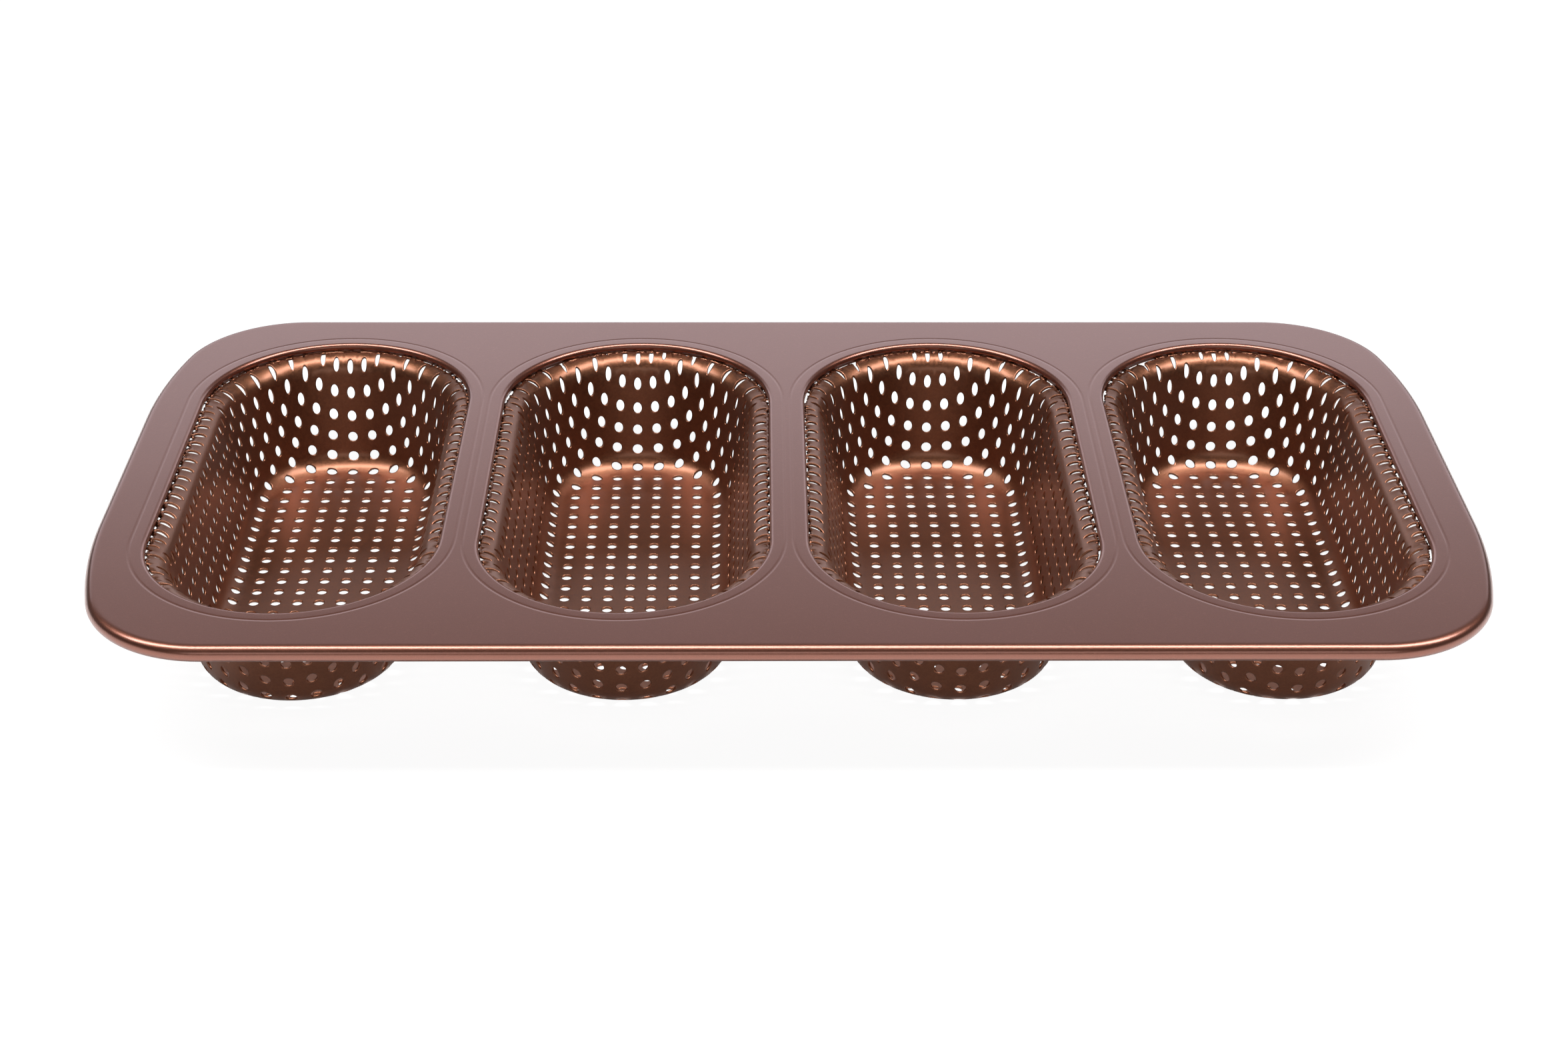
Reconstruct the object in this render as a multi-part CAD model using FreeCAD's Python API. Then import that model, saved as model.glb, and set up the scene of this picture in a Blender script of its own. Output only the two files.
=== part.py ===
import FreeCAD, Part
import math
import os

# Baguette baking tray: four perforated steel cups hung in a plain pressed deck with a wired edge.
# Frame: +X across the cups, +Y along a loaf, +Z up. The origin is on the surface that the tray
# stands on, under the middle of the deck. All sizes are millimetres and angles are degrees.

# The cups' openings, and the metal left between and around them
cup_count = 4
cup_width = 79.3
cup_length = 164.7
cup_web = 10.7
side_margin = 15.35
end_margin = 18.8
tray_height = 37.0

# Deck: one plain sheet, its outer edge rolled round a wire
deck_sheet = 0.6
corner_radius = 35.1
flank_radius = 170.5
flank_flat = 66.6
wire_diameter = 3.4
wire_gap = 0.05
curl_turn = 280.0

# The deck's lip, turned down round each opening, and the soft ring pressed round it
lip_bend = 1.2
lip_drop = 2.0
ring_offset = 4.3
ring_width = 1.4
ring_depth = 0.12

# Cup: one drawn sheet, from its flat floor out to the flange welded under the deck
cup_sheet = 0.7
floor_bend = 6.3
wall_lean = 12.3
shoulder_bend = 5.4
ledge_width = 0.72
lip_gap = 0.1
collar_gap = 0.15
collar_bend = 0.2
flange_width = 3.4

# The blank is punched in a square grid before it is drawn
hole_diameter = 3.0
hole_pitch = 6.24
# How the drawing moves the grid: along the sides, round the corners and up the ends
side_push = 0.141
corner_give = 0.191
edge_give = 0.042
corner_stretch = 0.034
corner_power = 1.538
end_stretch = 0.010
end_stretch_start = 35.3
# Near the ledge the holes are drawn out to slots, which stop short of the collar
slot_narrowing = 0.42
corner_narrowing = 0.62
slot_lengthening = 0.9
end_lengthening = 0.3
slot_power = 6
slot_margin = 0.2
shortest_slot = 2.0

# Sizes that follow
cup_pitch = cup_width + cup_web
deck_width = cup_count * cup_width + (cup_count - 1) * cup_web + 2 * side_margin
deck_depth = cup_length + 2 * end_margin
half_straight = (cup_length - cup_width) / 2
wire_radius = wire_diameter / 2
bead_radius = wire_radius + wire_gap + deck_sheet
bead_height = tray_height - bead_radius
deck_under = tray_height - deck_sheet
ledge_top = tray_height - lip_drop - lip_gap


# Bent sheet sections. A stretch is (out, up, heading, curvature, length) along the sheet's middle.

def station(stretch, along, offset=0.0):
    """Place and heading at a distance along a stretch, and a distance to its left."""
    out, up, heading, curvature, _ = stretch
    turned = heading + curvature * along
    if curvature:
        out += (math.sin(turned) - math.sin(heading)) / curvature
        up -= (math.cos(turned) - math.cos(heading)) / curvature
    else:
        out += along * math.cos(heading)
        up += along * math.sin(heading)
    return out - offset * math.sin(turned), up + offset * math.cos(turned), turned


def bent(start, heading, runs):
    """Stretches from a start point; each run is (length, then turn in degrees, bend radius)."""
    stretches = []
    out, up = start
    heading = math.radians(heading)
    for length, turn, radius in runs:
        pieces = [(0.0, length)]
        if turn:
            pieces.append((math.copysign(1 / radius, turn), math.radians(abs(turn)) * radius))
        for curvature, reach in pieces:
            if reach <= 0:
                continue
            stretch = (out, up, heading, curvature, reach)
            stretches.append(stretch)
            out, up, heading = station(stretch, reach)
    return stretches


def spot(out, up):
    return FreeCAD.Vector(out, 0, up)


def side_edges(stretches, offset):
    """Edges along one face of the sheet."""
    edges = []
    for stretch in stretches:
        length = stretch[4]
        first, middle, last = (spot(*station(stretch, length * share, offset)[:2])
                               for share in (0, 0.5, 1))
        if stretch[3]:
            edges.append(Part.Arc(first, middle, last).toShape())
        else:
            edges.append(Part.LineSegment(first, last).toShape())
    return edges


def section(stretches, sheet):
    """Closed face of a bent sheet, drawn with x as the distance out and z up."""
    upper = side_edges(stretches, sheet / 2)
    lower = side_edges(stretches, -sheet / 2)
    ends = []
    for stretch, along in ((stretches[0], 0), (stretches[-1], stretches[-1][4])):
        pair = [spot(*station(stretch, along, side)[:2]) for side in (sheet / 2, -sheet / 2)]
        ends.append(Part.LineSegment(*pair).toShape())
    return Part.Face(Part.Wire(Part.__sortEdges__(upper + lower + ends)))


# Outlines in plan. A leg is ("line", start, end) or ("arc", centre, radius, from, to), anticlockwise.

def sweep(face, outline):
    """One solid per leg: a section carried round an outline, its x axis pointing outwards."""
    solids = []
    for leg in outline:
        if leg[0] == "line":
            _, start, end = leg
            run = end - start
            placed = face.copy()
            placed.rotate(FreeCAD.Vector(), FreeCAD.Vector(0, 0, 1),
                          math.degrees(math.atan2(run.y, run.x)) - 90)
            placed.translate(start)
            solids.append(placed.extrude(run))
        else:
            _, centre, radius, first, last = leg
            placed = face.copy()
            placed.translate(FreeCAD.Vector(radius, 0, 0))
            placed.rotate(FreeCAD.Vector(), FreeCAD.Vector(0, 0, 1), first)
            placed.translate(centre)
            solids.append(placed.revolve(centre, FreeCAD.Vector(0, 0, 1), last - first))
    return solids


def outline_wire(outline):
    edges = []
    for leg in outline:
        if leg[0] == "line":
            edges.append(Part.LineSegment(leg[1], leg[2]).toShape())
        else:
            _, centre, radius, first, last = leg
            circle = Part.Circle(centre, FreeCAD.Vector(0, 0, 1), radius)
            edges.append(Part.Arc(circle, math.radians(first), math.radians(last)).toShape())
    return Part.Wire(edges)


def deck_outline(inset):
    """The deck's edge moved inwards: flat flanks, flank arcs, corner arcs, straight front and back."""
    corner = corner_radius - inset
    flank = flank_radius - inset
    rise = math.asin((deck_depth / 2 - corner_radius - flank_flat / 2) / (flank - corner))
    turn = math.degrees(rise)
    flank_x = deck_width / 2 - flank_radius
    corner_x = flank_x + (flank - corner) * math.cos(rise)
    corner_y = deck_depth / 2 - corner_radius
    edge_x = deck_width / 2 - inset
    edge_y = deck_depth / 2 - inset
    east = ("line", FreeCAD.Vector(edge_x, -flank_flat / 2), FreeCAD.Vector(edge_x, flank_flat / 2))
    north = ("line", FreeCAD.Vector(corner_x, edge_y), FreeCAD.Vector(-corner_x, edge_y))
    west = ("line", FreeCAD.Vector(-edge_x, flank_flat / 2), FreeCAD.Vector(-edge_x, -flank_flat / 2))
    south = ("line", FreeCAD.Vector(-corner_x, -edge_y), FreeCAD.Vector(corner_x, -edge_y))
    legs = []
    for start, side, flank_first in ((0, east, True), (90, north, False),
                                     (180, west, True), (270, south, False)):
        sign_x = 1 if start in (0, 270) else -1
        sign_y = 1 if start in (0, 90) else -1
        flank_centre = FreeCAD.Vector(sign_x * flank_x, sign_y * flank_flat / 2)
        corner_centre = FreeCAD.Vector(sign_x * corner_x, sign_y * corner_y)
        legs.append(side)
        if flank_first:
            legs.append(("arc", flank_centre, flank, start, start + turn))
            legs.append(("arc", corner_centre, corner, start + turn, start + 90))
        else:
            legs.append(("arc", corner_centre, corner, start, start + 90 - turn))
            legs.append(("arc", flank_centre, flank, start + 90 - turn, start + 90))
    return legs


def cup_outline(reach):
    """The stadium that lies a distance out from a cup's middle line."""
    back = FreeCAD.Vector(0, half_straight)
    front = FreeCAD.Vector(0, -half_straight)
    out = FreeCAD.Vector(reach, 0)
    return [("line", front + out, back + out), ("arc", back, reach, 0, 180),
            ("line", back - out, front - out), ("arc", front, reach, 180, 360)]


def joined(solids):
    whole = solids[0].multiFuse(solids[1:]).removeSplitter()
    return whole.Solids[0] if len(whole.Solids) == 1 else whole


def cup_middles():
    return [FreeCAD.Vector((i - (cup_count - 1) / 2) * cup_pitch, 0, 0) for i in range(cup_count)]


# Deck

def lip_section():
    """The lip, from the flat of the deck round its bend and down; x is out from the opening."""
    middle = lip_bend - deck_sheet / 2
    drop = lip_drop - lip_bend
    start = (lip_bend, tray_height - deck_sheet / 2)
    return section(bent(start, 180, [(0, 90, middle), (drop, 0, 0)]), deck_sheet)


def curl_section():
    """The rolled edge round the wire; x is out from the wire's middle."""
    start = (0, tray_height - deck_sheet / 2)
    return section(bent(start, 0, [(0, -curl_turn, bead_radius - deck_sheet / 2)]), deck_sheet)


def ring_cutter():
    """A shallow round-bottomed ring; x is out from the opening."""
    radius = (ring_width ** 2 / 4 + ring_depth ** 2) / (2 * ring_depth)
    centre = spot(ring_offset, tray_height - ring_depth + radius)
    disc = Part.Face(Part.Wire(Part.Circle(centre, FreeCAD.Vector(0, 1, 0), radius).toShape()))
    band = Part.makePlane(ring_width * 2, ring_depth * 4,
                          spot(ring_offset - ring_width, tray_height + ring_depth * 3),
                          FreeCAD.Vector(0, 1, 0))
    return disc.common(band).Faces[0]


def deck_plate():
    plate = Part.Face(outline_wire(deck_outline(bead_radius)))
    half = cup_width / 2
    mouth = Part.Face(outline_wire(cup_outline(half + lip_bend)))
    lip = sweep(lip_section(), cup_outline(half))
    ring = joined(sweep(ring_cutter(), cup_outline(half)))
    lips = []
    rings = []
    for middle in cup_middles():
        plate = plate.cut(mouth.translated(middle))
        lips += [piece.translated(middle) for piece in lip]
        rings.append(ring.translated(middle))
    plate.translate(FreeCAD.Vector(0, 0, deck_under))
    flat = plate.Faces[0].extrude(FreeCAD.Vector(0, 0, deck_sheet))
    curl = sweep(curl_section(), deck_outline(bead_radius))
    return joined([flat] + curl + lips).cut(Part.makeCompound(rings)).Solids[0]


def rim_wire():
    circle = Part.Circle(spot(0, bead_height), FreeCAD.Vector(0, 1, 0), wire_radius)
    return joined(sweep(Part.Face(Part.Wire(circle.toShape())), deck_outline(bead_radius)))


# Cup

def cup_stretches():
    """The cup's sheet from the middle of its floor, up the wall, over the shoulder to the flange."""
    half_sheet = cup_sheet / 2
    floor_radius = floor_bend + half_sheet
    shoulder_radius = shoulder_bend - half_sheet
    climb = 90 - wall_lean
    lean = math.radians(wall_lean)
    ledge_middle = ledge_top - half_sheet
    ledge_start = cup_width / 2 - ledge_width
    wall_top = (ledge_start - shoulder_radius * math.cos(lean),
                ledge_middle - shoulder_radius * (1 - math.sin(lean)))
    wall_foot_up = half_sheet + floor_radius * (1 - math.sin(lean))
    wall_length = (wall_top[1] - wall_foot_up) / math.cos(lean)
    floor_half = wall_top[0] - wall_length * math.sin(lean) - floor_radius * math.cos(lean)
    collar_radius = collar_bend + half_sheet
    collar_middle = cup_width / 2 + deck_sheet + collar_gap + half_sheet
    ledge_length = collar_middle - collar_radius - ledge_start
    collar_rise = deck_under - half_sheet - ledge_middle - 2 * collar_radius
    flange = flange_width - cup_sheet - collar_bend
    runs = [(floor_half, climb, floor_radius), (wall_length, -climb, shoulder_radius),
            (ledge_length, 90, collar_radius), (collar_rise, -90, collar_radius),
            (flange, 0, 0)]
    return bent((0, half_sheet), 0, runs)


stretches = cup_stretches()
floor_half = stretches[0][4]
ledge_end = sum(stretch[4] for stretch in stretches[:5])


def cup_shell():
    """The cup before it is punched."""
    return joined(sweep(section(stretches, cup_sheet), cup_outline(0)))


def blank_place(x, y):
    """How far a point of the flat blank ends up along the drawn sheet, and its angle round an end."""
    past = max(0.0, abs(y) - half_straight)
    reach = math.hypot(x, past)
    angle = math.atan2(past, abs(x))
    late = max(0.0, reach - end_stretch_start)
    bent_part = max(0.0, reach - floor_half)
    along = (reach + end_stretch * late ** 2 * math.sin(angle) ** 2
             + corner_stretch * bent_part ** corner_power * math.sin(2 * angle) ** 2)
    return along, angle


def pulled_in(x, y, step):
    """A point of the blank moved towards the cup's middle line."""
    past = max(0.0, abs(y) - half_straight)
    share = 1 - step / math.hypot(x, past)
    return x * share, math.copysign(abs(y) - past * (1 - share), y)


def drawn(x, y):
    """Where a point of the flat blank lies on the drawn cup, with the way out of the sheet."""
    along, angle = blank_place(x, y)
    rest = along
    for stretch in stretches:
        if rest <= stretch[4]:
            break
        rest -= stretch[4]
    out, up, heading = station(stretch, min(rest, stretch[4]))
    climb = min(1.0, max(0.0, (along - floor_half) / (ledge_end - floor_half)))
    push = side_push * climb
    give = corner_give * climb * (1 - climb) - edge_give * climb ** 3
    if abs(y) > half_straight:
        share = (angle + give * math.sin(4 * angle)) / (math.pi / 2)
        contour = half_straight * (1 - push) + (half_straight * push + out * math.pi / 2) * share
    else:
        contour = abs(y) * (1 - push)
    round_by = max(0.0, contour - half_straight) / out if out else 0.0
    flat_y = min(contour, half_straight)
    side = math.copysign(1, x)
    end = math.copysign(1, y)
    place = FreeCAD.Vector(side * out * math.cos(round_by),
                           end * (flat_y + out * math.sin(round_by)), up)
    lift = FreeCAD.Vector(-side * math.sin(heading) * math.cos(round_by),
                          -end * math.sin(heading) * math.sin(round_by), math.cos(heading))
    return place, lift, climb


def hole_cutter(x, y):
    """The oval that a round hole of the blank becomes, as a short bar through the sheet."""
    step = 0.01
    climb = drawn(x, y)[2]
    along, angle = blank_place(x, y)
    by_x = (drawn(x + step, y)[0] - drawn(x - step, y)[0]) * (hole_diameter / 4 / step)
    by_y = (drawn(x, y + step)[0] - drawn(x, y - step)[0]) * (hole_diameter / 4 / step)
    swing = 0.5 * math.atan2(2 * by_x.dot(by_y), by_x.dot(by_x) - by_y.dot(by_y))
    longer = by_x * math.cos(swing) + by_y * math.sin(swing)
    shorter = by_y * math.cos(swing) - by_x * math.sin(swing)
    squeeze = climb ** slot_power
    at_corner = math.sin(2 * angle) ** 2
    at_end = math.sin(angle) ** 2
    narrowing = slot_narrowing + (corner_narrowing - slot_narrowing) * at_corner
    lengthening = slot_lengthening + (end_lengthening - slot_lengthening) * at_end
    major = longer.Length * (1 + lengthening * squeeze)
    minor = shorter.Length * (1 - narrowing * squeeze)
    excess = along + major - (ledge_end - slot_margin)
    if excess > 0:
        x, y = pulled_in(x, y, excess / 2)
        major -= excess / 2
    if major < shortest_slot / 2:
        return None
    place, lift, _ = drawn(x, y)
    sideways = lift.cross(longer).normalize()
    direction = sideways.cross(lift)
    below = place - lift * (cup_sheet * 3)
    if abs(major - minor) < 0.02:
        edge = Part.Circle(below, lift, major).toShape()
    elif major > minor:
        edge = Part.Ellipse(below + direction * major, below + sideways * minor, below).toShape()
    else:
        edge = Part.Ellipse(below + sideways * minor, below + direction * major, below).toShape()
    return Part.Face(Part.Wire(edge)).extrude(lift * (cup_sheet * 5))


def hole_cutters():
    """One cutter for every grid hole inside the ledge."""
    cutters = []
    columns = int((ledge_end + half_straight) / hole_pitch) + 2
    for column in range(-columns, columns + 1):
        for row in range(-columns, columns + 1):
            x = column * hole_pitch
            y = row * hole_pitch
            if blank_place(x, y)[0] > ledge_end:
                continue
            cutter = hole_cutter(x, y)
            if cutter:
                cutters.append(cutter)
    return cutters


def write(name, shape):
    shape.exportStep(os.path.join("parts", name + ".step"))
    print(name, shape.ShapeType, len(shape.Solids), round(shape.Volume, 1), shape.isValid())


os.makedirs("parts", exist_ok=True)
write("deck_plate", deck_plate())
write("rim_wire", rim_wire())
cup = cup_shell().cut(Part.makeCompound(hole_cutters())).Solids[0]
for number, middle in enumerate(cup_middles(), 1):
    write("loaf_cup_%d" % number, cup.translated(middle))
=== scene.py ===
import math

import bmesh
import bpy
from mathutils import Matrix, Vector


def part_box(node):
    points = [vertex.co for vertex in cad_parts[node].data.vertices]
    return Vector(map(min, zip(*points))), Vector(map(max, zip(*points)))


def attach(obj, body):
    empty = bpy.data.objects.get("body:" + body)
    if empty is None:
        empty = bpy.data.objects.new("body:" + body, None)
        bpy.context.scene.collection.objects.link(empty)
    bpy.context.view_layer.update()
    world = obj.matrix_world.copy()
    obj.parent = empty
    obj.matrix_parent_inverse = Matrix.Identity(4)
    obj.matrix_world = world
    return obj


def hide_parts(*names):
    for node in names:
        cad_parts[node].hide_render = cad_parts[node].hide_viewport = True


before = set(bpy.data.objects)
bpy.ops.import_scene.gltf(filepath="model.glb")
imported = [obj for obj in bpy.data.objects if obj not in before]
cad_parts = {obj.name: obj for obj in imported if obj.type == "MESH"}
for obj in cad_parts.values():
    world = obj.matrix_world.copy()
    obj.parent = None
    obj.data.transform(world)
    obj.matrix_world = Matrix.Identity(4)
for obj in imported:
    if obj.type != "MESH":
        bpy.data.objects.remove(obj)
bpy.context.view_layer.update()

bl_info = {
    "name": "Baguette Baking Tray",
    "version": (1, 0, 0),
    "blender": (4, 5, 0),
    "location": "View3D > Sidebar > Tray",
    "description": "Builds the coated deck and the perforated cups of a baguette baking tray",
    "category": "Add Mesh",
}

MM = 0.001
CUPS = ("loaf_cup_1", "loaf_cup_2", "loaf_cup_3", "loaf_cup_4")

# Steps between sections round the lips, and round the deck's edge and the flanges
LIP_STEP = 1.8 * MM
EDGE_STEP = 2.0 * MM
# Narrow flats beside bends, which keep the shading of the broad flats even
BESIDE_BEND = 0.1 * MM
PAST_RING = 0.12 * MM
BESIDE_CURL = 0.6 * MM
# Points nearer than this are one point: on pressed sheet, and on the finer punched sheet
PRESSED_MERGE = 0.01 * MM
PUNCHED_MERGE = 0.002 * MM


class TraySettings(bpy.types.PropertyGroup):
    """Sizes, finishes and studio of the tray."""

    mouth_width: bpy.props.FloatProperty(
        name="Mouth width", description="Opening in the deck, across a loaf",
        default=79.3 * MM, unit="LENGTH", precision=5)
    mouth_length: bpy.props.FloatProperty(
        name="Mouth length", description="Opening in the deck, along a loaf",
        default=164.7 * MM, unit="LENGTH", precision=5)
    deck_sheet: bpy.props.FloatProperty(
        name="Deck sheet", description="Thickness of the deck's steel",
        default=0.6 * MM, unit="LENGTH", precision=5)
    corner_radius: bpy.props.FloatProperty(
        name="Corner radius", description="Radius of the deck's corners in plan",
        default=35.1 * MM, unit="LENGTH", precision=5)
    flank_radius: bpy.props.FloatProperty(
        name="Flank radius", description="Radius of the slow curve from flank to corner",
        default=170.5 * MM, unit="LENGTH", precision=5)
    flank_flat: bpy.props.FloatProperty(
        name="Flank flat", description="Straight part of each flank",
        default=66.6 * MM, unit="LENGTH", precision=5)
    curl_turn: bpy.props.FloatProperty(
        name="Curl turn", description="How far the deck's edge is rolled round its wire",
        default=math.radians(280.0), subtype="ANGLE")
    lip_bend: bpy.props.FloatProperty(
        name="Lip bend", description="Outer radius of the lip round each mouth",
        default=1.2 * MM, unit="LENGTH", precision=5)
    lip_drop: bpy.props.FloatProperty(
        name="Lip drop", description="Height of the lip round each mouth",
        default=2.0 * MM, unit="LENGTH", precision=5)
    ring_offset: bpy.props.FloatProperty(
        name="Ring offset", description="Distance of the pressed ring from the mouth",
        default=4.3 * MM, unit="LENGTH", precision=5)
    ring_width: bpy.props.FloatProperty(
        name="Ring width", description="Width of the pressed ring",
        default=1.4 * MM, unit="LENGTH", precision=5)
    ring_depth: bpy.props.FloatProperty(
        name="Ring depth", description="Depth of the pressed ring",
        default=0.05 * MM, unit="LENGTH", precision=5)
    cup_sheet: bpy.props.FloatProperty(
        name="Cup sheet", description="Thickness of the cups' steel",
        default=0.7 * MM, unit="LENGTH", precision=5)
    floor_bend: bpy.props.FloatProperty(
        name="Floor bend", description="Inner radius between a cup's floor and wall",
        default=6.3 * MM, unit="LENGTH", precision=5)
    wall_lean: bpy.props.FloatProperty(
        name="Wall lean", description="How far a cup's wall leans from upright",
        default=math.radians(12.3), subtype="ANGLE")
    shoulder_bend: bpy.props.FloatProperty(
        name="Shoulder bend", description="Outer radius of a cup's shoulder",
        default=5.4 * MM, unit="LENGTH", precision=5)
    ledge_width: bpy.props.FloatProperty(
        name="Ledge width", description="Flat of a cup's ledge inside the mouth",
        default=0.72 * MM, unit="LENGTH", precision=5)
    lip_gap: bpy.props.FloatProperty(
        name="Lip gap", description="Clearance between the lip and a cup's ledge",
        default=0.1 * MM, unit="LENGTH", precision=5)
    collar_gap: bpy.props.FloatProperty(
        name="Collar gap", description="Clearance between the lip and a cup's collar",
        default=0.15 * MM, unit="LENGTH", precision=5)
    collar_bend: bpy.props.FloatProperty(
        name="Collar bend", description="Inner radius of the collar's bends",
        default=0.2 * MM, unit="LENGTH", precision=5)
    flange_width: bpy.props.FloatProperty(
        name="Flange width", description="Width of the flange under the deck",
        default=3.4 * MM, unit="LENGTH", precision=5)
    hole_diameter: bpy.props.FloatProperty(
        name="Hole diameter", description="Punched hole in the flat blank",
        default=3.0 * MM, unit="LENGTH", precision=5)
    hole_pitch: bpy.props.FloatProperty(
        name="Hole pitch", description="Spacing of the square hole grid in the flat blank",
        default=6.24 * MM, unit="LENGTH", precision=5)
    grid_across: bpy.props.FloatVectorProperty(
        name="Grid across", description="How far each cup's hole grid sits across its middle",
        default=(0.26 * MM, -0.73 * MM, 0.0, 0.07 * MM), size=4, unit="LENGTH", precision=5)
    grid_along: bpy.props.FloatVectorProperty(
        name="Grid along", description="How far each cup's hole grid sits along from its middle",
        default=(-2.77 * MM, -0.59 * MM, 0.0, 0.15 * MM), size=4, unit="LENGTH", precision=5)
    grid_turn: bpy.props.FloatVectorProperty(
        name="Grid turn", description="How far each cup's hole grid is turned",
        default=(0.009, 0.007, 0.009, 0.016), size=4, unit="ROTATION", precision=5)
    deck_colour: bpy.props.FloatVectorProperty(
        name="Deck colour", description="Bronze coating of the deck",
        default=(0.35, 0.115, 0.068), subtype="COLOR", size=3, min=0, max=1)
    cup_colour: bpy.props.FloatVectorProperty(
        name="Cup colour", description="Copper-coloured coating of the cups",
        default=(0.29, 0.107, 0.05), subtype="COLOR", size=3, min=0, max=1)
    wire_colour: bpy.props.FloatVectorProperty(
        name="Wire colour", description="Bare steel of the rim's wire",
        default=(0.45, 0.44, 0.43), subtype="COLOR", size=3, min=0, max=1)
    floor_colour: bpy.props.FloatVectorProperty(
        name="Floor colour", description="Pale floor under the tray",
        default=(0.8, 0.8, 0.8), subtype="COLOR", size=3, min=0, max=1)


def settings():
    return bpy.context.scene.tray_settings


# Shader values

class Flow:
    """A value on its way through a shader's nodes; sums and products of it add nodes."""

    def __init__(self, tree, socket):
        self.tree = tree
        self.socket = socket

    def node(self, kind, output, feeds, **options):
        """One output of a new node, whose inputs are fed by other values or set to constants."""
        made = self.tree.nodes.new(kind)
        for name, value in options.items():
            setattr(made, name, value)
        for name, value in feeds.items():
            if isinstance(value, Flow):
                self.tree.links.new(value.socket, made.inputs[name])
            else:
                made.inputs[name].default_value = value
        return Flow(self.tree, made.outputs[output])

    def maths(self, operation, first, second):
        return self.node("ShaderNodeMath", 0, {0: first, 1: second}, operation=operation)

    def __add__(self, other):
        return self.maths("ADD", self, other)

    def __radd__(self, other):
        return self.maths("ADD", other, self)

    def __mul__(self, other):
        return self.maths("MULTIPLY", self, other)

    def __rmul__(self, other):
        return self.maths("MULTIPLY", other, self)

    def over(self, low, high):
        """0 below the low value, 1 above the high one, smooth between them."""
        return self.node("ShaderNodeMapRange", 0,
                         {"Value": self, "From Min": low, "From Max": high},
                         interpolation_type="SMOOTHSTEP")

    def noise(self, cell, detail, roughness=0.5):
        """Cloudy noise with features of a size, read at this place."""
        return self.node("ShaderNodeTexNoise", 0, {
            "Vector": self, "Scale": 1 / cell, "Detail": detail, "Roughness": roughness})

    def flakes(self, cell):
        """A flat random value for each flake of a size."""
        colour = self.node("ShaderNodeTexVoronoi", 1, {"Vector": self, "Scale": 1 / cell})
        return self.node("ShaderNodeSeparateColor", 0, {"Color": colour})

    def mixed(self, first, second):
        """From the first colour to the second as this value goes from 0 to 1."""
        made = self.tree.nodes.new("ShaderNodeMix")
        made.data_type = "RGBA"
        for name, value in ((0, self), (6, first), (7, second)):
            if isinstance(value, Flow):
                self.tree.links.new(value.socket, made.inputs[name])
            else:
                made.inputs[name].default_value = value
        return Flow(self.tree, made.outputs[2])

    def bump(self, depth, strength):
        return self.node("ShaderNodeBump", 0,
                         {"Height": self, "Distance": depth, "Strength": strength})


def material(name):
    """A new node material: its place value, in the object's own metres, and its main shader."""
    made = bpy.data.materials.new(name)
    made.use_nodes = True
    tree = made.node_tree
    shader = tree.nodes["Principled BSDF"]
    place = Flow(tree, tree.nodes.new("ShaderNodeTexCoord").outputs["Object"])
    return made, place, shader


def feed(shader, **inputs):
    """Links values to a shader's inputs and sets its constants; underscores stand for spaces."""
    for name, value in inputs.items():
        socket = shader.inputs[name.replace("_", " ")]
        if isinstance(value, Flow):
            value.tree.links.new(value.socket, socket)
        else:
            socket.default_value = value


def opaque(colour, share=1.0):
    return (colour[0] * share, colour[1] * share, colour[2] * share, 1.0)


def deck_coating():
    """Satin bronze coating with a fine orange-peel skin and tiny specks."""
    found = bpy.data.materials.get("bronze_deck")
    if found:
        return found
    made, place, shader = material("bronze_deck")
    size = settings()
    peel = place.noise(0.9 * MM, 2.0)
    grain = place.noise(0.28 * MM, 2.0)
    cloud = place.noise(22 * MM, 3.0)
    speck = place.flakes(0.5 * MM).over(0.9, 1.0)
    tone = (grain.over(0.3, 0.75) * 0.6 + cloud * 0.25 + speck * 0.3).mixed(
        opaque(size.deck_colour, 0.86), opaque(size.deck_colour, 1.12))
    feed(shader, Base_Color=tone, Metallic=1.0, Roughness=grain * 0.12 + 0.29,
         Coat_Weight=cloud * 0.04 + 0.96, Coat_Roughness=0.25, Coat_IOR=1.72,
         Normal=(peel + grain * 0.5).bump(0.02 * MM, 0.6))
    return made


def cup_coating():
    """Glossy copper-coloured coating over steel, with visible metal flakes."""
    found = bpy.data.materials.get("copper_cup")
    if found:
        return found
    made, place, shader = material("copper_cup")
    size = settings()
    flake = place.flakes(0.45 * MM)
    fine = place.noise(0.35 * MM, 3.0)
    cloud = place.noise(9 * MM, 3.0)
    tone = (flake * 0.5 + cloud * 0.5).mixed(
        opaque(size.cup_colour, 0.78), opaque(size.cup_colour, 1.15))
    feed(shader, Base_Color=tone, Metallic=1.0, Roughness=flake * 0.1 + fine * 0.06 + 0.32,
         Coat_Weight=0.55, Coat_Roughness=0.3, Coat_IOR=1.6,
         Normal=fine.bump(0.02 * MM, 0.2))
    return made


def wire_steel():
    """Drawn steel wire with faint marks along it."""
    found = bpy.data.materials.get("drawn_wire")
    if found:
        return found
    made, place, shader = material("drawn_wire")
    size = settings()
    marks = place.noise(1.2 * MM, 4.0, 0.6)
    tone = marks.mixed(opaque(size.wire_colour, 0.8), opaque(size.wire_colour))
    feed(shader, Base_Color=tone, Metallic=1.0, Roughness=marks * 0.2 + 0.25,
         Normal=marks.bump(0.02 * MM, 0.5))
    return made


# Mesh helpers
# An outline is a start and its legs: ("run", vector) or ("turn", centre, reach, angle).

def heading_vector(heading):
    """Direction in the XZ plane, from +X towards +Z."""
    return Vector((math.cos(heading), 0.0, math.sin(heading)))


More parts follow.
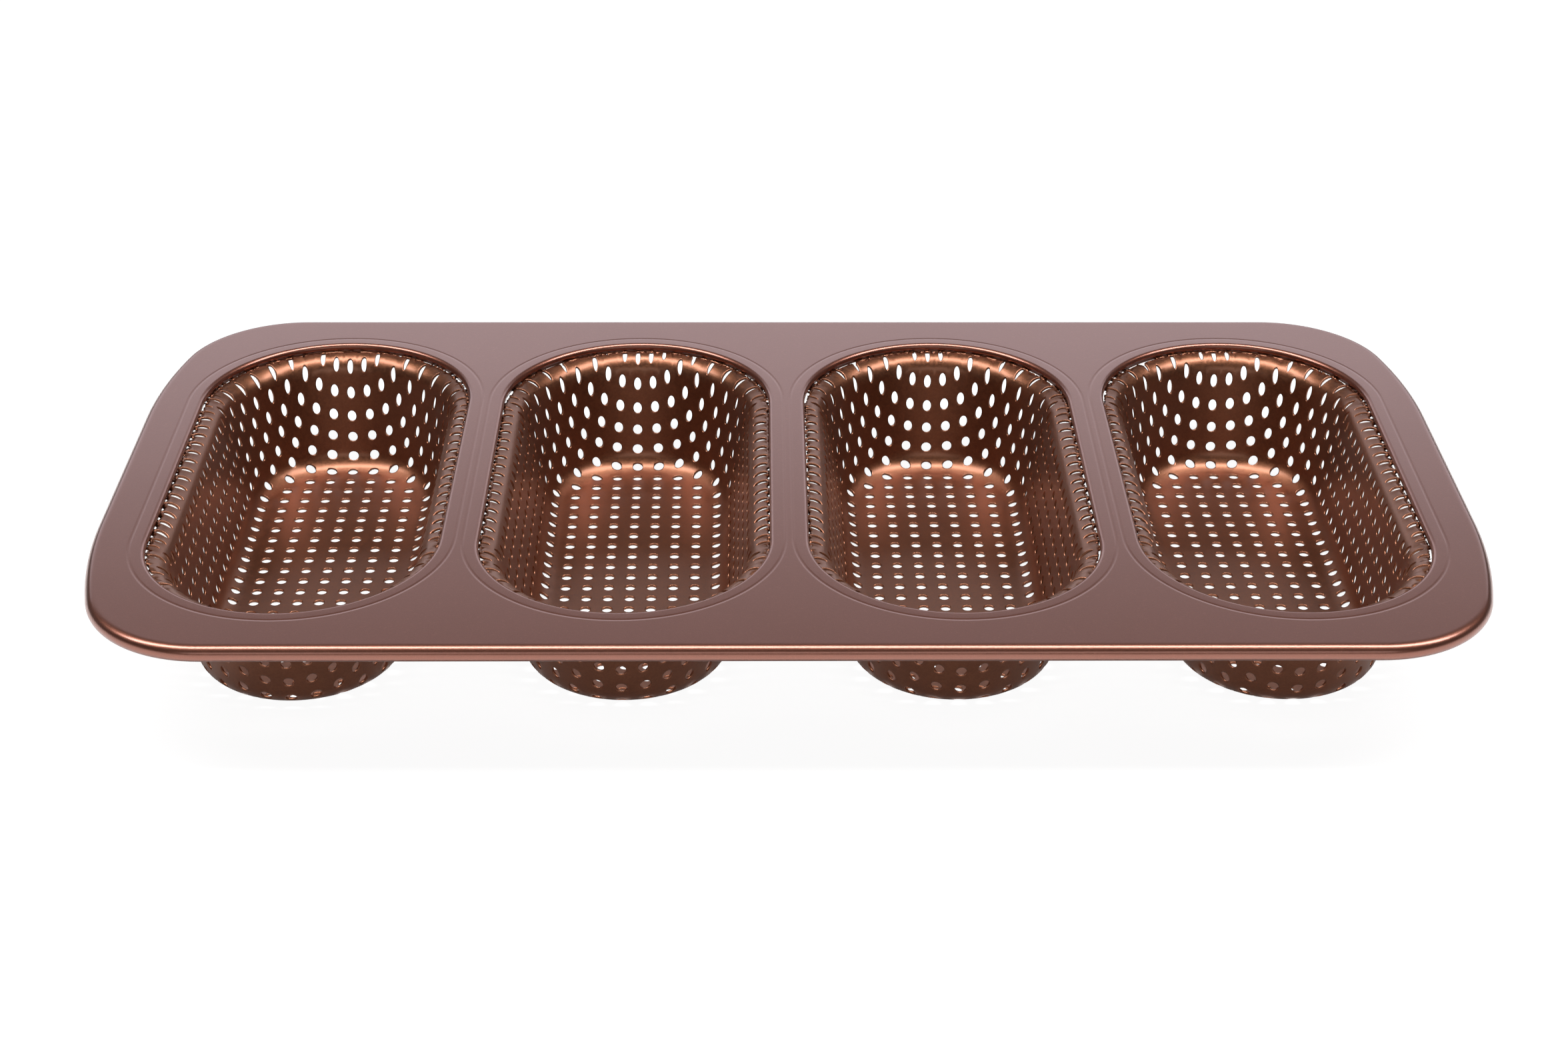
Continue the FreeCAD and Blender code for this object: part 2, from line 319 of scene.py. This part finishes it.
def bent_line(bm, start, heading, runs):
    """A bent sheet's line in the XZ plane; each run is a length, then a turn, radius and steps."""
    tip = bmesh.ops.create_vert(bm, co=start)["vert"][0]
    for length, turn, radius, steps in runs:
        if length:
            tip = bmesh.ops.extrude_vert_indiv(bm, verts=[tip])["verts"][0]
            bmesh.ops.translate(bm, verts=[tip], vec=heading_vector(heading) * length)
        if turn:
            side = math.copysign(1.0, turn)
            centre = tip.co + heading_vector(heading + math.pi / 2) * (radius * side)
            last = bmesh.ops.spin(bm, geom=[tip], cent=centre, axis=(0, -1, 0), angle=turn,
                                  steps=steps)["geom_last"]
            tip = [item for item in last if isinstance(item, bmesh.types.BMVert)][0]
            heading += turn


def carried(bm, geom, start, legs, spacing):
    """Carries a section from its outline's start round all the legs."""
    verts = [item for item in geom if isinstance(item, bmesh.types.BMVert)]
    bmesh.ops.translate(bm, verts=verts, vec=start)
    for leg in legs:
        if leg[0] == "run":
            steps = max(1, round(leg[1].length / spacing))
            geom = bmesh.ops.spin(bm, geom=geom, cent=(0, 0, 0), axis=(0, 0, 1), angle=0,
                                  dvec=leg[1] / steps, steps=steps)["geom_last"]
        else:
            _, centre, reach, angle = leg
            steps = max(4, round(reach * angle / spacing))
            geom = bmesh.ops.spin(bm, geom=geom, cent=centre, axis=(0, 0, 1), angle=angle,
                                  steps=steps)["geom_last"]


def stadium(middle, reach):
    """Round-ended outline at a distance from a cup's middle line."""
    size = settings()
    half = (size.mouth_length - size.mouth_width) / 2
    back = middle + Vector((0, half, 0))
    front = middle - Vector((0, half, 0))
    run = Vector((0, half * 2, 0))
    return front + Vector((reach, 0, 0)), [
        ("run", run), ("turn", back, reach, math.pi),
        ("run", -run), ("turn", front, reach, math.pi)]


def deck_outline(inset):
    """The deck's edge moved inwards: flat flanks, flank arcs, corner arcs, front and back."""
    size = settings()
    low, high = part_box("deck_plate")
    half_x = (high.x - low.x) / 2
    half_y = (high.y - low.y) / 2
    corner = size.corner_radius - inset
    flank = size.flank_radius - inset
    rise = math.asin((half_y - size.corner_radius - size.flank_flat / 2) / (flank - corner))
    flank_x = half_x - size.flank_radius
    corner_x = flank_x + (flank - corner) * math.cos(rise)
    corner_y = half_y - size.corner_radius
    legs = []
    for quarter in range(4):
        sign_x = 1 if quarter in (0, 3) else -1
        sign_y = 1 if quarter in (0, 1) else -1
        slow = ("turn", Vector((sign_x * flank_x, sign_y * size.flank_flat / 2, 0)), flank, rise)
        quick = ("turn", Vector((sign_x * corner_x, sign_y * corner_y, 0)), corner,
                 math.pi / 2 - rise)
        if quarter % 2:
            legs += [("run", Vector((-sign_y * corner_x * 2, 0, 0))), quick, slow]
        else:
            legs += [("run", Vector((0, sign_x * size.flank_flat, 0))), slow, quick]
    return Vector((half_x - inset, -size.flank_flat / 2, 0)), legs


def finished(bm, name, node, made_material, sheet, offset=0.0):
    """Makes the mesh a smooth piece of sheet that rides on the tray in a CAD node's place."""
    mesh = bpy.data.meshes.new(name)
    bm.to_mesh(mesh)
    bm.free()
    mesh.shade_smooth()
    mesh.materials.append(made_material)
    piece = bpy.data.objects.new(name, mesh)
    bpy.context.scene.collection.objects.link(piece)
    wall = piece.modifiers.new("Sheet", "SOLIDIFY")
    wall.thickness = sheet
    wall.offset = offset
    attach(piece, "root")
    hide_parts(node)


def face_up(bm):
    """Normals out, with the broad flat facing up."""
    bmesh.ops.recalc_face_normals(bm, faces=bm.faces[:])
    broad = max(bm.faces, key=lambda face: face.calc_area())
    if broad.normal.z < 0:
        bmesh.ops.reverse_faces(bm, faces=bm.faces[:])


# Deck

def ring_runs(size):
    """The soft pressed ring as three bends of one radius: over, under and over again."""
    swing = 2 * math.atan(2 * size.ring_depth / size.ring_width)
    radius = size.ring_width / (4 * math.sin(swing))
    return [(0, -swing, radius, 3), (0, 2 * swing, radius, 6), (0, -swing, radius, 3)]


def add_lip(bm, middle, size, top):
    """One mouth's lip, its bend, the flat round it and the pressed ring."""
    section = bmesh.new()
    lip_flat = size.ring_offset - size.ring_width / 2 - size.lip_bend
    runs = [(size.lip_drop - size.lip_bend, -math.pi / 2, size.lip_bend, 8),
            (BESIDE_BEND, 0, 0, 0), (lip_flat - BESIDE_BEND, 0, 0, 0)]
    runs += ring_runs(size)
    runs.append((PAST_RING, 0, 0, 0))
    bent_line(section, (0, 0, top - size.lip_drop), math.pi / 2, runs)
    start, legs = stadium(middle, size.mouth_width / 2)
    carried(section, section.verts[:] + section.edges[:], start, legs, LIP_STEP)
    merge_into(bm, section)


def merge_into(bm, other):
    """Adds another mesh to this one."""
    mesh = bpy.data.meshes.new("part")
    other.to_mesh(mesh)
    other.free()
    bm.from_mesh(mesh)
    bpy.data.meshes.remove(mesh)


class TRAY_OT_deck(bpy.types.Operator):
    """Adds the pressed deck with its four lipped mouths and rolled edge"""
    bl_idname = "tray.deck"
    bl_label = "Deck"
    bl_options = {"REGISTER", "UNDO"}

    def execute(self, context):
        size = settings()
        low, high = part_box("deck_plate")
        top = high.z
        bead = (high.z - low.z) / 2
        bm = bmesh.new()
        for cup in CUPS:
            corner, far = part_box(cup)
            add_lip(bm, Vector(((corner.x + far.x) / 2, 0, 0)), size, top)
        curl = bmesh.new()
        bent_line(curl, (-BESIDE_CURL, 0, top), 0.0, [(BESIDE_CURL, -size.curl_turn, bead, 28)])
        start, legs = deck_outline(bead)
        carried(curl, curl.verts[:] + curl.edges[:], start, legs, EDGE_STEP)
        merge_into(bm, curl)
        bmesh.ops.remove_doubles(bm, verts=bm.verts[:], dist=PRESSED_MERGE)
        rim = [edge for edge in bm.edges
               if edge.is_boundary and min(vert.co.z for vert in edge.verts) > top - PRESSED_MERGE]
        bmesh.ops.triangle_fill(bm, edges=rim, use_beauty=True, normal=(0, 0, 1))
        face_up(bm)
        finished(bm, "deck", "deck_plate", deck_coating(), size.deck_sheet, -1.0)
        return {"FINISHED"}


# Cups

# How the drawing moves the blank's holes: along the sides, round the corners, up the ends
SIDE_PUSH = 0.141
CORNER_GIVE = 0.191
EDGE_GIVE = 0.042
CORNER_STRETCH = 0.034
CORNER_POWER = 1.538
END_STRETCH = 0.010
END_STRETCH_START = 35.3
# Near the ledge the holes are drawn out to slots, which stop short of the collar
SLOT_NARROWING = 0.42
CORNER_NARROWING = 0.62
SLOT_LENGTHENING = 0.9
END_LENGTHENING = 0.3
SLOT_POWER = 6
SLOT_MARGIN = 0.2 * MM
SHORTEST_SLOT = 2.0 * MM
# Step in the blank by which a hole's stretch is measured
PROBE = 0.01 * MM
# A hole's sides, and the rings of its square cell, as shares of the way out to the cell's edge
HOLE_SIDES = 16
CELL_RINGS = (0.15, 0.55, 1.0)
# Share of the sheet's thickness that each skin has, so that it stays within the CAD's sheet
CUP_FIT = 0.98
FLANGE_FIT = 0.96


def stretch_point(stretch, along):
    """Place and heading at a distance along a (out, up, heading, curvature, length) stretch."""
    out, up, heading, curvature, _ = stretch
    turned = heading + curvature * along
    if curvature:
        out += (math.sin(turned) - math.sin(heading)) / curvature
        up -= (math.cos(turned) - math.cos(heading)) / curvature
    else:
        out += along * math.cos(heading)
        up += along * math.sin(heading)
    return out, up, turned


class CupShape:
    """A cup's sheet from the middle of its floor to its ledge, and the map from its flat blank."""

    def __init__(self, size, top):
        half_sheet = size.cup_sheet / 2
        floor_radius = size.floor_bend + half_sheet
        shoulder_radius = size.shoulder_bend - half_sheet
        lean = size.wall_lean
        climb = math.pi / 2 - lean
        self.pitch = size.hole_pitch
        self.hole = size.hole_diameter / 2
        self.half_straight = (size.mouth_length - size.mouth_width) / 2
        self.ledge_up = top - size.lip_drop - size.lip_gap - half_sheet
        ledge_start = size.mouth_width / 2 - size.ledge_width
        wall_top_out = ledge_start - shoulder_radius * math.cos(lean)
        wall_top_up = self.ledge_up - shoulder_radius * (1 - math.sin(lean))
        wall_foot_up = half_sheet + floor_radius * (1 - math.sin(lean))
        wall = (wall_top_up - wall_foot_up) / math.cos(lean)
        self.floor_half = wall_top_out - wall * math.sin(lean) - floor_radius * math.cos(lean)
        self.collar_radius = size.collar_bend + half_sheet
        self.collar_out = (size.mouth_width / 2 + size.deck_sheet + size.collar_gap
                           + half_sheet)
        self.ledge_out = self.collar_out - self.collar_radius
        self.stretches = []
        out, up, heading = 0.0, half_sheet, 0.0
        for curvature, reach in ((0.0, self.floor_half), (1 / floor_radius, climb * floor_radius),
                                 (0.0, wall), (-1 / shoulder_radius, climb * shoulder_radius),
                                 (0.0, self.ledge_out - ledge_start)):
            stretch = (out, up, heading, curvature, reach)
            self.stretches.append(stretch)
            out, up, heading = stretch_point(stretch, reach)
        self.edge = sum(stretch[4] for stretch in self.stretches)

    def along(self, x, y):
        """Distance along the sheet at which a point of the blank ends up, and its angle."""
        past = max(0.0, abs(y) - self.half_straight)
        reach = math.hypot(x, past) / MM
        angle = math.atan2(past, abs(x))
        late = max(0.0, reach - END_STRETCH_START)
        corner = max(0.0, reach - self.floor_half / MM)
        along = (reach + END_STRETCH * late ** 2 * math.sin(angle) ** 2
                 + CORNER_STRETCH * corner ** CORNER_POWER * math.sin(2 * angle) ** 2)
        return along * MM, angle

    def drawn(self, x, y):
        """Where a point of the flat blank lies on the drawn cup."""
        along, angle = self.along(x, y)
        along = min(along, self.edge)
        rest = along
        for stretch in self.stretches:
            if rest <= stretch[4]:
                break
            rest -= stretch[4]
        out, up, _ = stretch_point(stretch, min(rest, stretch[4]))
        climb = max(0.0, (along - self.floor_half) / (self.edge - self.floor_half))
        push = SIDE_PUSH * climb
        give = CORNER_GIVE * climb * (1 - climb) - EDGE_GIVE * climb ** 3
        if abs(y) > self.half_straight:
            share = (angle + give * math.sin(4 * angle)) / (math.pi / 2)
            contour = (self.half_straight * (1 - push)
                       + (self.half_straight * push + out * math.pi / 2) * share)
        else:
            contour = abs(y) * (1 - push)
        round_by = max(0.0, contour - self.half_straight) / out if out else 0.0
        flat_y = min(contour, self.half_straight)
        return Vector((math.copysign(out * math.cos(round_by), x),
                       math.copysign(flat_y + out * math.sin(round_by), y), up))

    def hole_shape(self, x, y):
        """The pull that draws a hole as a slot: a matrix and a shift, or nothing if it is too short."""
        placed, angle = self.along(x, y)
        if placed > self.edge:
            return None
        across = (self.drawn(x + PROBE, y) - self.drawn(x - PROBE, y)) / (2 * PROBE)
        along = (self.drawn(x, y + PROBE) - self.drawn(x, y - PROBE)) / (2 * PROBE)
        swing = 0.5 * math.atan2(2 * across.dot(along), across.dot(across) - along.dot(along))
        longer = (across * math.cos(swing) + along * math.sin(swing)).length * self.hole
        climb = max(0.0, (placed - self.floor_half) / (self.edge - self.floor_half))
        squeeze = climb ** SLOT_POWER
        at_corner = math.sin(2 * angle) ** 2
        at_end = math.sin(angle) ** 2
        narrowing = SLOT_NARROWING + (CORNER_NARROWING - SLOT_NARROWING) * at_corner
        lengthening = SLOT_LENGTHENING + (END_LENGTHENING - SLOT_LENGTHENING) * at_end
        major = longer * (1 + lengthening * squeeze)
        excess = max(0.0, placed + major - (self.edge - SLOT_MARGIN))
        major -= excess / 2
        if major < SHORTEST_SLOT / 2:
            return None
        past = Vector((x, math.copysign(max(0.0, abs(y) - self.half_straight), y)))
        turn = Matrix.Rotation(swing, 2)
        pull = Matrix(((major / longer, 0), (0, 1 - narrowing * squeeze)))
        inwards = past.normalized() * (-excess / 2)
        return turn @ pull @ turn.transposed(), inwards


def punched_blank(shape, columns, rows):
    """A flat sheet of square cells, each with a round hole in its middle, as a mesh."""
    bm = bmesh.new()
    bmesh.ops.create_circle(bm, cap_ends=False, segments=HOLE_SIDES, radius=shape.hole)
    edges = bm.edges[:]
    for share in CELL_RINGS:
        made = bmesh.ops.extrude_edge_only(bm, edges=edges)["geom"]
        fresh = {item for item in made if isinstance(item, bmesh.types.BMVert)}
        edges = [item for item in made if isinstance(item, bmesh.types.BMEdge)
                 and item.verts[0] in fresh and item.verts[1] in fresh]
        for vert in fresh:
            out = vert.co.normalized()
            square = shape.pitch / 2 / max(abs(out.x), abs(out.y))
            vert.co = out * (shape.hole + (square - shape.hole) * share)
    for count, step in ((columns, Vector((shape.pitch, 0, 0))), (rows, Vector((0, shape.pitch, 0)))):
        cell = bm.verts[:] + bm.edges[:] + bm.faces[:]
        for number in range(-count, count + 1):
            if number:
                copy = bmesh.ops.duplicate(bm, geom=cell)["geom"]
                verts = [item for item in copy if isinstance(item, bmesh.types.BMVert)]
                bmesh.ops.translate(bm, verts=verts, vec=step * number)
    bmesh.ops.remove_doubles(bm, verts=bm.verts[:], dist=shape.pitch * 0.001)
    mesh = bpy.data.meshes.new("blank")
    bm.to_mesh(mesh)
    bm.free()
    return mesh


class Punching:
    """One cup's hole grid: its place on the blank, and how each hole is pulled."""

    def __init__(self, shape, across, along, turn):
        self.shape = shape
        self.shift = Vector((across, along))
        self.turn = Matrix.Rotation(turn, 2)
        self.pulls = {}

    def cell(self, place):
        """The middle of the cell that holds a point of the grid."""
        pitch = self.shape.pitch
        return Vector((round(place.x / pitch) * pitch, round(place.y / pitch) * pitch))

    def on_blank(self, place):
        return self.turn @ place + self.shift

    def pull(self, middle):
        """The pull on one hole and its shift, or nothing where no hole is; worked out once."""
        key = (round(middle.x / self.shape.pitch), round(middle.y / self.shape.pitch))
        if key not in self.pulls:
            self.pulls[key] = self.shape.hole_shape(*self.on_blank(middle))
        return self.pulls[key]

    def moved(self, place):
        """A point of the grid on the drawn cup; points near a hole follow its pull."""
        middle = self.cell(place)
        step = place - middle
        pull = self.pull(middle)
        if pull and step.length:
            out = step.normalized()
            square = self.shape.pitch / 2 / max(abs(out.x), abs(out.y))
            share = max(0.0, (square - step.length) / (square - self.shape.hole))
            hole = self.turn @ out * self.shape.hole
            pulled = pull[0] @ hole - hole + pull[1]
            return self.shape.drawn(*(self.on_blank(place) + pulled * share))
        return self.shape.drawn(*self.on_blank(place))


def close_dropped_holes(bm, punching):
    """Fills the holes that would reach the collar."""
    reach = punching.shape.hole * 1.01
    edges = []
    for edge in bm.edges:
        if edge.is_boundary:
            place = (edge.verts[0].co + edge.verts[1].co).to_2d() / 2
            middle = punching.cell(place)
            if (place - middle).length < reach and not punching.pull(middle):
                edges.append(edge)
    filled = bmesh.ops.holes_fill(bm, edges=edges, sides=HOLE_SIDES)["faces"]
    bmesh.ops.poke(bm, faces=filled)


def build_cup(shape, blank, punching, centre):
    """The blank trimmed to the cup's ledge and drawn to its shape, as a mesh in its place."""
    bm = bmesh.new()
    bm.from_mesh(blank)
    close_dropped_holes(bm, punching)
    inside = set()
    for vert in bm.verts:
        if shape.along(*punching.on_blank(vert.co.to_2d()))[0] < shape.edge:
            inside.add(vert)
    beyond = [face for face in bm.faces if not any(vert in inside for vert in face.verts)]
    bmesh.ops.delete(bm, geom=beyond, context="FACES")
    for vert in bm.verts:
        vert.co = punching.moved(vert.co.to_2d()) + centre
    bmesh.ops.remove_doubles(bm, verts=bm.verts[:], dist=PUNCHED_MERGE)
    bmesh.ops.dissolve_degenerate(bm, edges=bm.edges[:], dist=PUNCHED_MERGE)
    face_up(bm)
    return bm


class TRAY_OT_cups(bpy.types.Operator):
    """Adds the four perforated cups, each drawn from one punched blank"""
    bl_idname = "tray.cups"
    bl_label = "Perforated cups"
    bl_options = {"REGISTER", "UNDO"}

    def execute(self, context):
        size = settings()
        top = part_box("deck_plate")[1].z
        shape = CupShape(size, top)
        columns = int(shape.edge / shape.pitch) + 1
        rows = int((shape.edge + shape.half_straight) / shape.pitch) + 1
        blank = punched_blank(shape, columns, rows)
        for number, cup in enumerate(CUPS):
            low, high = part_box(cup)
            punching = Punching(shape, size.grid_across[number], size.grid_along[number],
                                size.grid_turn[number])
            bm = build_cup(shape, blank, punching, Vector(((low.x + high.x) / 2, 0, 0)))
            finished(bm, "cup_%d" % (number + 1), cup, cup_coating(),
                     size.cup_sheet * CUP_FIT)
        bpy.data.meshes.remove(blank)
        return {"FINISHED"}


class TRAY_OT_flanges(bpy.types.Operator):
    """Adds the collar and flange that hold each cup under the deck"""
    bl_idname = "tray.flanges"
    bl_label = "Cup flanges"
    bl_options = {"REGISTER", "UNDO"}

    def execute(self, context):
        size = settings()
        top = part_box("deck_plate")[1].z
        shape = CupShape(size, top)
        rise = (top - size.deck_sheet - size.cup_sheet / 2 - shape.ledge_up
                - 2 * shape.collar_radius)
        flange = size.flange_width - size.cup_sheet - size.collar_bend
        for number, cup in enumerate(CUPS):
            low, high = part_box(cup)
            bm = bmesh.new()
            bent_line(bm, (-BESIDE_BEND, 0, shape.ledge_up), 0.0, [
                (BESIDE_BEND, math.pi / 2, shape.collar_radius, 5),
                (rise, -math.pi / 2, shape.collar_radius, 5), (flange, 0, 0, 0)])
            start, legs = stadium(Vector(((low.x + high.x) / 2, 0, 0)), shape.ledge_out)
            carried(bm, bm.verts[:] + bm.edges[:], start, legs, EDGE_STEP)
            bmesh.ops.remove_doubles(bm, verts=bm.verts[:], dist=PRESSED_MERGE)
            face_up(bm)
            finished(bm, "cup_%d_flange" % (number + 1), cup, cup_coating(),
                     size.cup_sheet * FLANGE_FIT)
        return {"FINISHED"}


class TRAY_OT_wire(bpy.types.Operator):
    """Gives the rim's wire its bare steel finish"""
    bl_idname = "tray.wire"
    bl_label = "Rim wire"
    bl_options = {"REGISTER", "UNDO"}

    def execute(self, context):
        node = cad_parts["rim_wire"]
        node.data.materials.clear()
        node.data.materials.append(wire_steel())
        return {"FINISHED"}


# Studio

# How evenly the camera sees the floor lit, how bright, and what share of that gloss sees
FLOOR_EVENNESS = 0.82
FLOOR_GLOW = 1.15
GLOSS_SHARE = 0.12
SURROUNDINGS = 0.06
# The camera's lens and place, and its angle below level, to the right and over to one side
LENS = 62.865
CAMERA_PLACE = (-8.91 * MM, -695.95 * MM, 396.9 * MM)
CAMERA_DIP = 0.49802
CAMERA_SWING = 0.011266
CAMERA_ROLL = 0.004639


def area_light(name, place, aim, width, depth, power, colour=(1.0, 1.0, 1.0)):
    """A rectangular soft light at a place, facing a point."""
    data = bpy.data.lights.new(name, "AREA")
    data.shape = "RECTANGLE"
    data.size = width
    data.size_y = depth
    data.energy = power
    data.color = colour
    light = bpy.data.objects.new(name, data)
    light.location = place
    light.rotation_euler = (Vector(aim) - Vector(place)).to_track_quat("-Z", "Y").to_euler()
    bpy.context.scene.collection.objects.link(light)


def floor_material():
    """Pale floor that the camera sees lit evenly, with the object's shadow kept."""
    made, place, shader = material("floor_paint")
    size = settings()
    cloud = place.noise(60 * MM, 2.0)
    feed(shader, Base_Color=cloud.mixed(opaque(size.floor_colour, 0.985), opaque(size.floor_colour)),
         Roughness=0.9, Specular_IOR_Level=0.1)
    seen = (place.node("ShaderNodeLightPath", "Is Camera Ray", {})
            + place.node("ShaderNodeLightPath", "Is Glossy Ray", {}) * GLOSS_SHARE
            + place.node("ShaderNodeLightPath", "Is Transmission Ray", {}))
    glow = place.node("ShaderNodeEmission", 0, {"Color": (1, 1, 1, 1), "Strength": FLOOR_GLOW})
    body = Flow(place.tree, shader.outputs[0])
    blend = place.tree.nodes.new("ShaderNodeMixShader")
    place.tree.links.new((seen * FLOOR_EVENNESS).socket, blend.inputs[0])
    place.tree.links.new(body.socket, blend.inputs[1])
    place.tree.links.new(glow.socket, blend.inputs[2])
    place.tree.links.new(blend.outputs[0], place.tree.nodes["Material Output"].inputs[0])
    return made


class TRAY_OT_studio(bpy.types.Operator):
    """Adds the floor, the soft lights, the surroundings and the camera"""
    bl_idname = "tray.studio"
    bl_label = "Studio"
    bl_options = {"REGISTER", "UNDO"}

    def execute(self, context):
        scene = context.scene
        bm = bmesh.new()
        bmesh.ops.create_grid(bm, x_segments=8, y_segments=8, size=4.0)
        bmesh.ops.translate(bm, verts=bm.verts[:], vec=(0, 0, -0.02 * MM))
        mesh = bpy.data.meshes.new("floor")
        bm.to_mesh(mesh)
        bm.free()
        mesh.materials.append(floor_material())
        floor = bpy.data.objects.new("floor", mesh)
        scene.collection.objects.link(floor)
        for side in (-1, 1):
            area_light("overhead_%d" % (side + 2), (side * 0.6, 0.0, 1.25), (side * 0.2, 0.0, 0.0),
                       0.36, 1.3, 15.0)
        area_light("behind", (0.0, 2.0, 0.72), (0.0, 0.0, 0.1), 3.0, 0.7, 7.4,
                   (0.95, 1.0, 1.12))
        area_light("front", (0.0, -1.6, 0.6), (0.0, 0.0, 0.0), 1.6, 0.4, 2.5)
        world = bpy.data.worlds.new("surroundings")
        world.use_nodes = True
        background = world.node_tree.nodes["Background"]
        background.inputs["Color"].default_value = (1, 1, 1, 1)
        background.inputs["Strength"].default_value = SURROUNDINGS
        scene.world = world
        data = bpy.data.cameras.new("camera")
        data.lens = LENS
        data.sensor_width = 36.0
        data.clip_start = 0.05
        camera = bpy.data.objects.new("camera", data)
        camera.location = CAMERA_PLACE
        camera.rotation_mode = "QUATERNION"
        swing = Matrix.Rotation(-CAMERA_SWING, 3, "Z")
        dip = Matrix.Rotation(math.pi / 2 - CAMERA_DIP, 3, "X")
        roll = Matrix.Rotation(CAMERA_ROLL, 3, "Z")
        camera.rotation_quaternion = (swing @ dip @ roll).to_quaternion()
        scene.collection.objects.link(camera)
        scene.camera = camera
        scene.view_settings.view_transform = "Standard"
        return {"FINISHED"}


class TRAY_PT_panel(bpy.types.Panel):
    """Sizes, finishes and the steps that build the tray"""
    bl_idname = "TRAY_PT_panel"
    bl_label = "Baguette Baking Tray"
    bl_space_type = "VIEW_3D"
    bl_region_type = "UI"
    bl_category = "Tray"

    def draw(self, context):
        layout = self.layout
        for operator in OPERATORS:
            layout.operator(operator.bl_idname)
        size = context.scene.tray_settings
        for name in TraySettings.__annotations__:
            layout.prop(size, name)


OPERATORS = (TRAY_OT_deck, TRAY_OT_cups, TRAY_OT_flanges, TRAY_OT_wire, TRAY_OT_studio)


def register():
    for found in (TraySettings,) + OPERATORS + (TRAY_PT_panel,):
        bpy.utils.register_class(found)
    bpy.types.Scene.tray_settings = bpy.props.PointerProperty(type=TraySettings)


def unregister():
    del bpy.types.Scene.tray_settings
    for found in reversed((TraySettings,) + OPERATORS + (TRAY_PT_panel,)):
        bpy.utils.unregister_class(found)


def main():
    register()
    bpy.ops.tray.deck()
    bpy.ops.tray.cups()
    bpy.ops.tray.flanges()
    bpy.ops.tray.wire()
    bpy.ops.tray.studio()
    bpy.context.view_layer.update()


if __name__ == "__main__":
    main()
